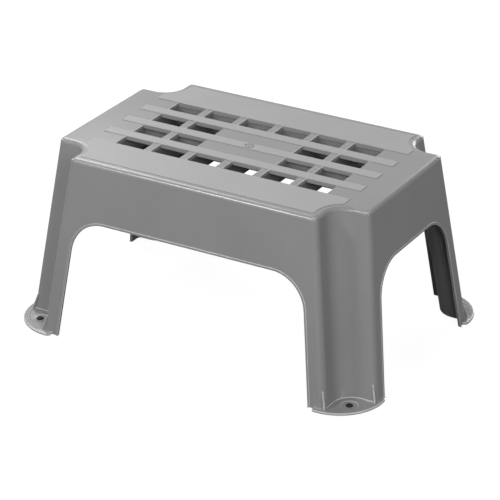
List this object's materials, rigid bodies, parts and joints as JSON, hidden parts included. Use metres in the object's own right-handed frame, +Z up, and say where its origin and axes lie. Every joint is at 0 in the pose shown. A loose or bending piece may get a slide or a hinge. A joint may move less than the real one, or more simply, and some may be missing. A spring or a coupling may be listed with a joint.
{
  "type": "step stool",
  "caption": "Low moulded plastic step stool with a slotted, ribbed deck, splayed fluted legs, arched aprons and push-in rubber feet.",
  "frame": {"origin": "on the floor under the middle of the deck, at the centre of the object's box", "axes": "+Z up, +X along the long side of the deck, -Y towards the front apron"},
  "size_m": [0.493, 0.349, 0.23],
  "materials": {
    "stool_plastic": "moulded grey polypropylene, satin walls, fine-grained tread strips",
    "foot_rubber": "black moulded rubber"
  },
  "bodies": {
    "root": {"stool_body": "stool_plastic", "foot_pad_front_left": "foot_rubber", "foot_pad_front_right": "foot_rubber", "foot_pad_back_left": "foot_rubber", "foot_pad_back_right": "foot_rubber"}
  },
  "joints": []
}
